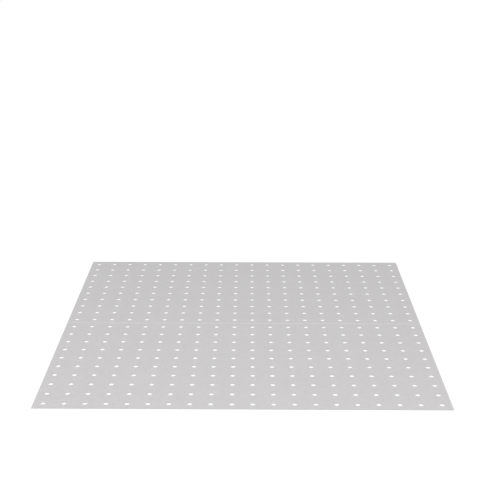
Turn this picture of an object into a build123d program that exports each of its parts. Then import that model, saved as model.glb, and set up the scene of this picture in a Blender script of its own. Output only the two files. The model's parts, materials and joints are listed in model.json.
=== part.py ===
from build123d import *
import os

# Flat perforated metal sheet: one piece of sheet stock with round holes punched through it on a
# square grid, and one fine score line across the middle of its top face.
# Lengths are in millimetres. X runs across the sheet, Y along it and Z up through its thickness.
# The origin is the centre of the underside.

# Driving dimensions
THICKNESS = 1.2
HOLES_ACROSS = 20
HOLES_ALONG = 20
HOLE_PITCH = 50.0
HOLE_DIAMETER = 12.0
EDGE_MARGIN = 24.0  # from the outer holes' centres to the sheet's edges
EDGE_BREAK = 0.1  # deburring bevel round both faces
SCORE_WIDTH = 1.2
SCORE_DEPTH = 0.3

# Derived sizes
SHEET_WIDTH = (HOLES_ACROSS - 1) * HOLE_PITCH + 2 * EDGE_MARGIN
SHEET_LENGTH = (HOLES_ALONG - 1) * HOLE_PITCH + 2 * EDGE_MARGIN

ON_UNDERSIDE = (Align.CENTER, Align.CENTER, Align.MIN)


def flat_blank():
    """The unpunched sheet, with its outer edges deburred on both faces."""
    blank = Box(SHEET_WIDTH, SHEET_LENGTH, THICKNESS, align=ON_UNDERSIDE)
    outer_edges = blank.edges().filter_by(Axis.Z, reverse=True)
    return chamfer(outer_edges, EDGE_BREAK)


def score_line():
    """The V-shaped cut from side to side, midway along the sheet, between two rows of holes."""
    half_width = SCORE_WIDTH / 2
    section = Polyline(
        (-half_width, THICKNESS),
        (half_width, THICKNESS),
        (0, THICKNESS - SCORE_DEPTH),
        close=True,
    )
    return extrude(Plane.YZ * make_face(section), SHEET_WIDTH / 2, both=True)


def punched_holes():
    """The metal that the punch takes out: one round slug for each hole of the grid."""
    slug = Cylinder(HOLE_DIAMETER / 2, THICKNESS, align=ON_UNDERSIDE)
    return GridLocations(HOLE_PITCH, HOLE_PITCH, HOLES_ACROSS, HOLES_ALONG) * slug


def perforated_sheet():
    """The whole sheet as one solid."""
    return flat_blank() - score_line() - punched_holes()


os.makedirs("parts", exist_ok=True)
export_step(perforated_sheet(), "parts/perforated_sheet.step")
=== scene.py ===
import json
import math

import bpy
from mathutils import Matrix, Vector


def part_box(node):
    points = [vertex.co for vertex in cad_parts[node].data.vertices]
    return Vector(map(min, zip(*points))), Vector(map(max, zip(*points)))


# A flat perforated sheet lying on a white studio floor. Lengths are in metres.

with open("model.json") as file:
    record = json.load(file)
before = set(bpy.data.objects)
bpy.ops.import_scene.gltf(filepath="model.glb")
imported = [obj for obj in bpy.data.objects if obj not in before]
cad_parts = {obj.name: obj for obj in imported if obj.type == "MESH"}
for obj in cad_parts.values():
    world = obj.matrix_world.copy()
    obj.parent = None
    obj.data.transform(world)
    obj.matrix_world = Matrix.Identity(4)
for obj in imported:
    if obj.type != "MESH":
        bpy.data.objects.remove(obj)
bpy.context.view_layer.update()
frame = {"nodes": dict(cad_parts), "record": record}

sheet = frame["nodes"]["perforated_sheet"]
LOW, HIGH = (Vector(corner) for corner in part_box("perforated_sheet"))
CENTRE = (LOW + HIGH) / 2
THICKNESS = HIGH.z - LOW.z
HOLE_PITCH = 0.050
HOLE_RADIUS = frame["record"]["mounts"][0]["dims"]["r_mm"] / 1000

# The camera's place above the sheet's top face, and the point of that plane it looks at
LENS_MM = 75
SENSOR_MM = 36
CAMERA_PLACE = Vector((0.0140, -2.5977, HIGH.z + 1.1444))
CAMERA_AIM = Vector((-0.0164, 0.7237, HIGH.z))

# Colours, linear
METAL_GREY = (0.547, 0.536, 0.542)
FLOOR_GREY = (0.08, 0.08, 0.08)
WHITE = (1, 1, 1)

# The metal before its patterns are added. The shade scales its colour.
BASE_SHADE = 0.8450
BASE_ROUGHNESS = 0.42
METALNESS = 0.6

# Noise of the finish: features a metre, and how many times longer they are along X, Y and Z
GRAIN = {"scale": 1800, "stretch": (1, 60, 1), "detail": 3.0}
FINE_GRAIN = {"scale": 6000, "stretch": (1, 25, 1)}
CLOUDS = {"scale": 5, "detail": 3.0}
SCRATCH_STREAKS = {"scale": 2600, "stretch": (1, 130, 1), "detail": 0.0}
SCRATCH_PATCHES = {"scale": 9, "detail": 0.0}
SCORED_STREAKS = {"scale": 6000, "stretch": (40, 1, 1)}
TEARING = {"scale": 3500, "detail": 4.0}
WALL_STREAKS = {"scale": 5000, "stretch": (1, 1, 12)}
SPANGLE_SCALE = 140.0

# Scratches: their turns from Y in degrees, and where in the noise a scratch, or a patch of them, begins
# and is full
SCRATCH_TURNS = (20, -65, 80)
SCRATCH_ONSET = (0.77, 0.81)
PATCH_ONSET = (0.50, 0.62)

# The size of a normal's Z part is 1 on the faces, 0.89 in the score line, 0.71 on the bevels and 0 on the cut
# walls. These are where it changes from cut to face, and from score line to flat.
CUT_TO_FACE = (0.80, 0.86)
SCORE_TO_FLAT = (0.90, 0.97)

# Widths of the rolled-over rims and the rubbed edges. A cut wall turns from burnished to torn, and darkened
# with painted shade, over a range of depth below the top face, as a share of the thickness, to which the
# tearing adds its waviness.
RIM_WIDTH = 0.0006
RUBBED_WIDTH = 0.003
TEAR_WAVINESS = 0.25
BURNISHED_TO_TORN = (0.50, 0.60)

# The white surroundings: the floor's own glow, the backdrop's light, and what is added to it where it is seen
FLOOR_SIDE = 60
FLOOR_GAP = 0.0001
FLOOR_GLOW = 0.958
BACKDROP_LIGHT = 0.45
BACKDROP_SEEN_EXTRA = 0.55

# The softbox's power is in watts, the key's strength in watts a square metre and its angle in degrees.
# The key is a sun, so its place doesn't matter.
SOFTBOX_WIDTH = 4.0
SOFTBOX_HEIGHT = 1.0
SOFTBOX_POWER = 60
SOFTBOX_PLACE = Vector((-0.10, -1.3, 1.7))
KEY_STRENGTH = 0.3
KEY_ANGLE = 30
KEY_PLACE = Vector((0, 0, 3))
KEY_DIRECTION = Vector((0.25, 0.35, -1.0))


class Nodes:
    """Short calls for building one node tree. Inputs are given as numbers, tuples or other nodes' outputs."""

    def __init__(self, tree):
        self.tree = tree

    def fill(self, socket, value):
        if isinstance(value, bpy.types.NodeSocket):
            self.tree.links.new(value, socket)
        elif isinstance(value, tuple) and socket.type == "RGBA":
            socket.default_value = (*value, 1)
        else:
            socket.default_value = value

    def add(self, kind, settings=None, **inputs):
        node = self.tree.nodes.new(kind)
        for name, value in (settings or {}).items():
            setattr(node, name, value)
        for name, value in inputs.items():
            self.fill(node.inputs[name.replace("_", " ")], value)
        return node

    def math(self, operation, *values):
        node = self.add("ShaderNodeMath", {"operation": operation})
        for socket, value in zip(node.inputs, values):
            self.fill(socket, value)
        return node.outputs[0]

    def product(self, first, *others):
        for other in others:
            first = self.math("MULTIPLY", first, other)
        return first

    def total(self, start, *parts):
        """start plus each (pattern, amount) part's pattern times its amount."""
        for pattern, amount in parts:
            start = self.math("MULTIPLY_ADD", pattern, amount, start)
        return start

    def remap(self, value, low, high, to_low, to_high):
        """value from low..high onto to_low..to_high, eased and held at the ends."""
        node = self.add("ShaderNodeMapRange", {"interpolation_type": "SMOOTHSTEP"})
        for socket, given in zip(node.inputs, (value, low, high, to_low, to_high)):
            self.fill(socket, given)
        return node.outputs[0]

    def noise(self, place, scale, stretch=(1, 1, 1), turn=0, detail=2.0):
        """Noise about 0.5: scale features a metre, stretched along each axis, turned about Z in degrees."""
        laid = self.add("ShaderNodeMapping", {"vector_type": "TEXTURE"}, Vector=place)
        laid.inputs["Rotation"].default_value = (0, 0, math.radians(turn))
        laid.inputs["Scale"].default_value = stretch
        return self.add("ShaderNodeTexNoise", Vector=laid.outputs[0], Scale=scale, Detail=detail).outputs[0]


def new_material(name):
    """A new node material, its Nodes and its Principled shader."""
    material = bpy.data.materials.new(name)
    material.use_nodes = True
    return material, Nodes(material.node_tree), material.node_tree.nodes["Principled BSDF"]


def from_hole_wall(n, x, y):
    """Distance outward from the wall of the nearest hole."""
    across = n.math("SUBTRACT", n.math("FRACT", n.math("DIVIDE", x, HOLE_PITCH)), 0.5)
    along = n.math("SUBTRACT", n.math("FRACT", n.math("DIVIDE", y, HOLE_PITCH)), 0.5)
    squares = n.total(n.product(across, across), (along, along))
    return n.total(-HOLE_RADIUS, (n.math("SQRT", squares), HOLE_PITCH))


def from_outer_edge(n, x, y):
    """Distance inward from the nearest edge of the sheet."""
    in_width = n.math("SUBTRACT", HIGH.x, n.math("ABSOLUTE", x))
    in_length = n.math("SUBTRACT", HIGH.y, n.math("ABSOLUTE", y))
    return n.math("MINIMUM", in_width, in_length)


def scratches(n, place):
    """Patches of hair-thin straight scratches, a few centimetres long, in three directions: 0 to 1."""
    lines = 0.0
    for turn in SCRATCH_TURNS:
        streaks = n.noise(place, turn=turn, **SCRATCH_STREAKS)
        lines = n.math("MAXIMUM", lines, streaks)
    patches = n.noise(place, **SCRATCH_PATCHES)
    return n.product(n.remap(lines, *SCRATCH_ONSET, 0.0, 1.0), n.remap(patches, *PATCH_ONSET, 0.0, 1.0))


def sheet_metal():
    """Matte light-grey sheet steel with rolled grain, faint spangle, scratches and sheared edges, with
    painted shade deep in the holes and painted highlights on the rims and score line.
    """
    material, n, shader = new_material("sheet_metal_finish")
    spot = n.add("ShaderNodeTexCoord")
    place = spot.outputs["Object"]
    x, y, z = n.add("ShaderNodeSeparateXYZ", Vector=place).outputs
    upright = n.math("ABSOLUTE", n.add("ShaderNodeSeparateXYZ", Vector=spot.outputs["Normal"]).outputs["Z"])
    on_face = n.remap(upright, *CUT_TO_FACE, 0.0, 1.0)
    on_cut = n.math("SUBTRACT", 1.0, on_face)

    # Rolled surface, each pattern about 0 to 1
    grain = n.noise(place, **GRAIN)
    fine_grain = n.noise(place, **FINE_GRAIN)
    clouds = n.noise(place, **CLOUDS)
    cells = n.add("ShaderNodeTexVoronoi", {"voronoi_dimensions": "2D"}, Vector=place, Scale=SPANGLE_SCALE)
    spangle = n.add("ShaderNodeSeparateColor", Color=cells.outputs["Color"]).outputs[0]
    scratched = n.product(on_face, scratches(n, place))

    # Rims that punching rolled over, lifted by a painted highlight, edges rubbed bright by handling, and the
    # score line, brightened by a painted highlight where its groove catches light as well as by its bare
    # metal
    wall_gap = from_hole_wall(n, x, y)
    rim = n.product(on_face, n.remap(wall_gap, 0.0, RIM_WIDTH, 1.0, 0.0))
    rubbed = n.product(on_face, grain, n.remap(from_outer_edge(n, x, y), 0.0, RUBBED_WIDTH, 1.0, 0.0))
    in_score = n.product(on_face, n.remap(upright, *SCORE_TO_FLAT, 1.0, 0.0))
    scored = n.product(in_score, n.noise(place, **SCORED_STREAKS))

    # Sheared walls: burnished near the top face, torn and duller below, and darkened there with painted shade
    # deep in the holes
    tearing = n.noise(place, **TEARING)
    streaks = n.noise(place, **WALL_STREAKS)
    depth = n.total(HIGH.z / THICKNESS, (z, -1 / THICKNESS), (tearing, TEAR_WAVINESS))
    torn_and_shaded = n.product(on_cut, n.remap(depth, *BURNISHED_TO_TORN, 0.0, 1.0))
    streaked = n.product(on_cut, streaks)

    shade = n.total(
        BASE_SHADE,
        (clouds, 0.03),
        (spangle, 0.06),
        (grain, 0.22),
        (scratched, 0.16),
        # Painted highlight on the rolled-over rims
        (rim, 0.08),
        (rubbed, 0.06),
        # Painted highlight in the score line, with its brighter bare metal
        (in_score, 0.26),
        (scored, 0.30),
        (streaked, 0.10),
        # Painted shade deep in the hole walls, with their duller torn metal
        (n.product(torn_and_shaded, tearing), -0.45),
    )
    tint = n.add("ShaderNodeVectorMath", {"operation": "SCALE"})
    tint.inputs[0].default_value = METAL_GREY
    n.fill(tint.inputs["Scale"], shade)
    n.fill(shader.inputs["Base Color"], tint.outputs[0])

    rough = n.total(
        BASE_ROUGHNESS,
        (spangle, 0.06),
        (grain, 0.12),
        (rim, -0.08),
        (in_score, -0.10),
        (torn_and_shaded, 0.25),
    )
    n.fill(shader.inputs["Roughness"], rough)
    shader.inputs["Metallic"].default_value = METALNESS

    # Heights in metres
    height = n.total(
        0.0,
        (n.product(on_face, grain), 0.000008),
        (n.product(on_face, fine_grain), 0.000004),
        (scratched, -0.000008),
        (scored, 0.000006),
        (rim, -0.00003),
        (streaked, 0.000004),
        (n.product(torn_and_shaded, tearing), 0.00004),
    )
    bump = n.add("ShaderNodeBump", Height=height, Strength=1.0, Distance=1.0)
    n.fill(shader.inputs["Normal"], bump.outputs[0])
    return material


def seen_directly(n):
    """1 for rays from the camera, off metal or through glass, and 0 for the light that falls on things."""
    ray = n.add("ShaderNodeLightPath").outputs
    mirrored = n.math("MAXIMUM", ray["Is Glossy Ray"], ray["Is Transmission Ray"])
    return n.math("MAXIMUM", ray["Is Camera Ray"], mirrored)


def white_floor():
    """A floor that looks white and still takes the sheet's shadow."""
    material, n, shader = new_material("floor_white")
    shader.inputs["Base Color"].default_value = (*FLOOR_GREY, 1)
    shader.inputs["Roughness"].default_value = 0.9
    shader.inputs["Specular IOR Level"].default_value = 0
    lift = n.add("ShaderNodeEmission", Color=WHITE, Strength=n.product(seen_directly(n), FLOOR_GLOW))
    both = n.add("ShaderNodeAddShader")
    n.fill(both.inputs[0], shader.outputs[0])
    n.fill(both.inputs[1], lift.outputs[0])
    n.fill(material.node_tree.nodes["Material Output"].inputs["Surface"], both.outputs[0])
    return material


def make_floor():
    bpy.ops.mesh.primitive_plane_add(size=FLOOR_SIDE, location=(0, 0, LOW.z - FLOOR_GAP))
    floor = bpy.context.object
    floor.name = "floor"
    floor.data.materials.append(white_floor())


def make_world():
    """Soft light from all round, with a white backdrop in view."""
    world = bpy.data.worlds.new("studio")
    bpy.context.scene.world = world
    world.use_nodes = True
    n = Nodes(world.node_tree)
    background = world.node_tree.nodes["Background"]
    background.inputs["Color"].default_value = (*WHITE, 1)
    n.fill(background.inputs["Strength"], n.total(BACKDROP_LIGHT, (seen_directly(n), BACKDROP_SEEN_EXTRA)))


def add_light(data, place, direction):
    light = bpy.data.objects.new(data.name, data)
    light.location = place
    light.rotation_euler = direction.to_track_quat("-Z", "Y").to_euler()
    light.visible_glossy = False
    bpy.context.collection.objects.link(light)


def make_lights():
    """A wide softbox high in front, whose light falls off towards the rear, and a weak high key."""
    softbox = bpy.data.lights.new("front_softbox", "AREA")
    softbox.shape = "RECTANGLE"
    softbox.size = SOFTBOX_WIDTH
    softbox.size_y = SOFTBOX_HEIGHT
    softbox.energy = SOFTBOX_POWER
    add_light(softbox, SOFTBOX_PLACE, CENTRE - SOFTBOX_PLACE)
    key = bpy.data.lights.new("key", "SUN")
    key.energy = KEY_STRENGTH
    key.angle = math.radians(KEY_ANGLE)
    add_light(key, KEY_PLACE, KEY_DIRECTION)


def make_camera():
    data = bpy.data.cameras.new("camera")
    data.lens = LENS_MM
    data.sensor_width = SENSOR_MM
    camera = bpy.data.objects.new("camera", data)
    camera.location = CAMERA_PLACE
    camera.rotation_euler = (CAMERA_AIM - CAMERA_PLACE).to_track_quat("-Z", "Y").to_euler()
    bpy.context.collection.objects.link(camera)
    bpy.context.scene.camera = camera


sheet.data.materials.clear()
sheet.data.materials.append(sheet_metal())
make_floor()
make_world()
make_lights()
make_camera()
bpy.context.scene.view_settings.view_transform = "Standard"
